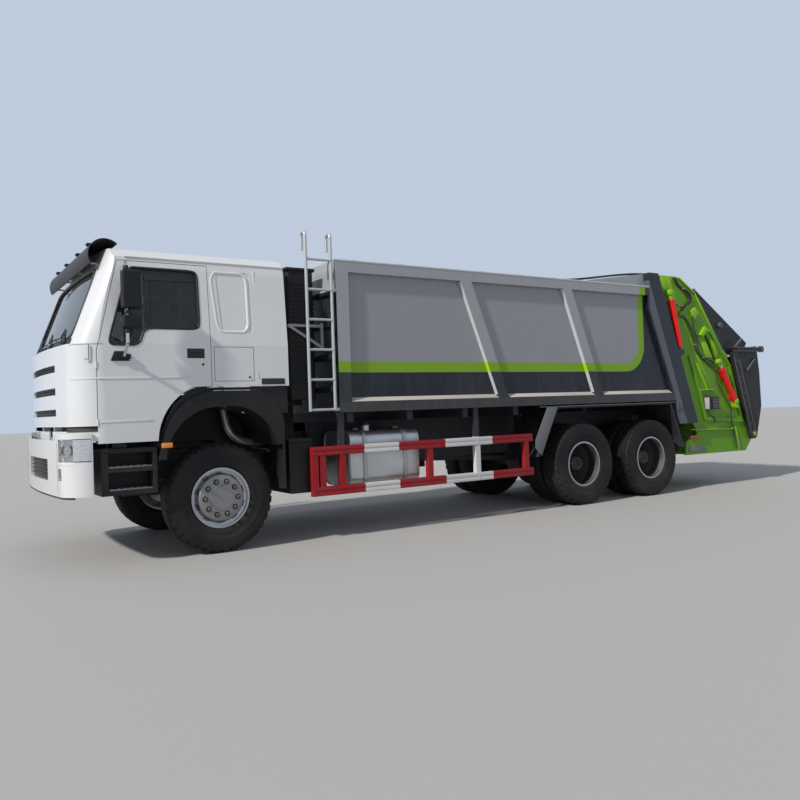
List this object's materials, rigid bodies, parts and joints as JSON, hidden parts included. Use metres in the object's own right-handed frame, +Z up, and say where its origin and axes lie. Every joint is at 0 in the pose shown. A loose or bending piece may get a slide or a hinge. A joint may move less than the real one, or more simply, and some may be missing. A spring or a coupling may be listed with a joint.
{
  "type": "garbage truck",
  "caption": "Rear loading garbage truck with tilting cab, closed load body, lifting tailgate, packer, hopper cover and folding bin loader.",
  "frame": {"origin": "on the ground, midway between the bumper's front and the loader's end bosses, and midway across the truck", "axes": "+X forward, +Y to the truck's left, +Z up"},
  "size_m": [10.7, 2.891, 3.2747],
  "materials": {
    "chassis_grey": "satin grey frame paint",
    "chassis_black": "satin black frame paint",
    "engine_metal": "rough cast",
    "tank_steel": "brushed, dusty",
    "guard_paint": "white rail paint with red lengths",
    "black_plastic": "grained black moulding",
    "bumper_plastic": "grey moulding",
    "lamp_glass": "clear lamp cover",
    "body_grey": "silver grey paint",
    "column_grey": "dark grey paint",
    "ladder_steel": "galvanised",
    "inner_steel": "worn steel",
    "cab_white": "white gloss paint",
    "window_glass": "tinted glass",
    "visor_plastic": "smoked gloss sheet",
    "cabin_grey": "dark grey trim",
    "seat_cloth": "dark cloth",
    "rim_steel": "silver wheel paint",
    "tyre": "worn rubber",
    "tailgate_green": "lime green paint",
    "cylinder_red": "red paint",
    "rod_chrome": "polished rod",
    "cover_black": "black paint"
  },
  "bodies": {
    "chassis": {"frame_rails": "chassis_grey", "frame_crossmembers": "chassis_grey", "gearbox": "engine_metal", "body_bearers": "chassis_grey", "front_axle": "engine_metal", "rear_axles": "engine_metal", "leaf_springs": "chassis_black", "engine_block": "engine_metal", "fuel_tank": "tank_steel", "battery_and_air_tanks": "black_plastic", "silencer_box": "tank_steel", "side_guards": "guard_paint", "step_boxes": "black_plastic", "front_fenders": "black_plastic", "rear_fenders": "black_plastic", "front_bumper": "cab_white", "front_lamps": "lamp_glass", "air_intake": "black_plastic", "subframe": "chassis_grey", "load_body": "body_grey", "rear_frame": "column_grey", "roof_hood": "column_grey", "ladder": "ladder_steel"},
    "cab": {"cab_shell": "cab_white", "grille_panel": "cab_white", "windscreen": "window_glass", "sun_visor": "visor_plastic", "dashboard": "cabin_grey", "seats_and_bunk": "seat_cloth"},
    "door_left": {"door_left": "cab_white", "door_glass_left": "window_glass", "mirror_left": "black_plastic"},
    "door_right": {"door_right": "cab_white", "door_glass_right": "window_glass", "mirror_right": "black_plastic"},
    "knuckle_left": {"knuckle_left": "engine_metal"},
    "knuckle_right": {"knuckle_right": "engine_metal"},
    "front_wheel_left": {"front_rim_left": "rim_steel", "front_tyre_left": "tyre"},
    "front_wheel_right": {"front_rim_right": "rim_steel", "front_tyre_right": "tyre"},
    "rear_wheels_1_left": {"rear_rims_1_left": "rim_steel", "rear_tyres_1_left": "tyre"},
    "rear_wheels_1_right": {"rear_rims_1_right": "rim_steel", "rear_tyres_1_right": "tyre"},
    "rear_wheels_2_left": {"rear_rims_2_left": "rim_steel", "rear_tyres_2_left": "tyre"},
    "rear_wheels_2_right": {"rear_rims_2_right": "rim_steel", "rear_tyres_2_right": "tyre"},
    "tailgate": {"tailgate_shell": "tailgate_green", "packer_barrels": "cylinder_red", "tail_boxes": "black_plastic"},
    "lift_barrels": {"lift_barrels": "cylinder_red"},
    "lift_rods": {"lift_rods": "rod_chrome"},
    "packer": {"packer_carriage": "inner_steel"},
    "sweep": {"sweep_panel": "inner_steel"},
    "hopper_cover": {"hopper_cover": "cover_black"},
    "loader": {"folding_loader": "cover_black"},
    "ejector": {"ejector_panel": "inner_steel"}
  },
  "joints": [
    {"name": "steer_left", "type": "hinge", "parent": "chassis", "child": "knuckle_left", "pos_m": [3.85, 0.8, 0.5425], "axis": [0, 0, 1], "range_deg": [-35, 35]},
    {"name": "steer_right", "type": "hinge", "parent": "chassis", "child": "knuckle_right", "pos_m": [3.85, -0.8, 0.5425], "axis": [0, 0, 1], "range_deg": [-35, 35]},
    {"name": "front_wheel_left_spin", "type": "hinge", "parent": "knuckle_left", "child": "front_wheel_left", "pos_m": [3.85, 1.011, 0.5425], "axis": [0, 1, 0], "continuous": true},
    {"name": "front_wheel_right_spin", "type": "hinge", "parent": "knuckle_right", "child": "front_wheel_right", "pos_m": [3.85, -1.011, 0.5425], "axis": [0, 1, 0], "continuous": true},
    {"name": "rear_wheels_1_left_spin", "type": "hinge", "parent": "chassis", "child": "rear_wheels_1_left", "pos_m": [-1.15, 0.915, 0.5425], "axis": [0, 1, 0], "continuous": true},
    {"name": "rear_wheels_1_right_spin", "type": "hinge", "parent": "chassis", "child": "rear_wheels_1_right", "pos_m": [-1.15, -0.915, 0.5425], "axis": [0, 1, 0], "continuous": true},
    {"name": "rear_wheels_2_left_spin", "type": "hinge", "parent": "chassis", "child": "rear_wheels_2_left", "pos_m": [-2.5, 0.915, 0.5425], "axis": [0, 1, 0], "continuous": true},
    {"name": "rear_wheels_2_right_spin", "type": "hinge", "parent": "chassis", "child": "rear_wheels_2_right", "pos_m": [-2.5, -0.915, 0.5425], "axis": [0, 1, 0], "continuous": true},
    {"name": "cab_tilt", "type": "hinge", "parent": "chassis", "child": "cab", "pos_m": [5.2, 0, 1.15], "axis": [0, 1, 0], "range_deg": [0, 50]},
    {"name": "door_left_hinge", "type": "hinge", "parent": "cab", "child": "door_left", "pos_m": [5.013, 1.241, 2], "axis": [0, 0, -1], "range_deg": [0, 70]},
    {"name": "door_right_hinge", "type": "hinge", "parent": "cab", "child": "door_right", "pos_m": [5.013, -1.241, 2], "axis": [0, 0, 1], "range_deg": [0, 70]},
    {"name": "tailgate_lift", "type": "hinge", "parent": "chassis", "child": "tailgate", "pos_m": [-2.85, 0, 3.14], "axis": [0, 1, 0], "range_deg": [0, 90]},
    {"name": "lift_barrels_swing", "type": "hinge", "parent": "chassis", "child": "lift_barrels", "pos_m": [-3.25, 0, 2.06], "axis": [0, 1, 0], "range_deg": [-6, 1]},
    {"name": "lift_rods_slide", "type": "slide", "parent": "lift_barrels", "child": "lift_rods", "axis": [0.224, 0, 0.9746], "range_m": [0, 0.41]},
    {"name": "hopper_cover_hinge", "type": "hinge", "parent": "tailgate", "child": "hopper_cover", "pos_m": [-3.77, 0, 3.02], "axis": [0, 1, 0], "range_deg": [0, 75]},
    {"name": "loader_fold", "type": "hinge", "parent": "tailgate", "child": "loader", "pos_m": [-4.98, 0, 0.77], "axis": [0, -1, 0], "range_deg": [0, 95]},
    {"name": "packer_slide", "type": "slide", "parent": "tailgate", "child": "packer", "axis": [0.5226, 0, 0.8526], "range_m": [0, 0.45]},
    {"name": "sweep_swing", "type": "hinge", "parent": "packer", "child": "sweep", "pos_m": [-4.19, 0, 1.87], "axis": [0, 1, 0], "range_deg": [-25, 55]},
    {"name": "ejector_slide", "type": "slide", "parent": "chassis", "child": "ejector", "axis": [-1, 0, 0], "range_m": [0, 4.4]}
  ],
  "couplings": [
    {"joint": "steer_right", "follows": "steer_left", "ratio": 1},
    {"joint": "lift_barrels_swing", "follows": "tailgate_lift", "ratio": -0.050037},
    {"joint": "lift_rods_slide", "follows": "tailgate_lift", "m_per_rad": 0.2555}
  ]
}
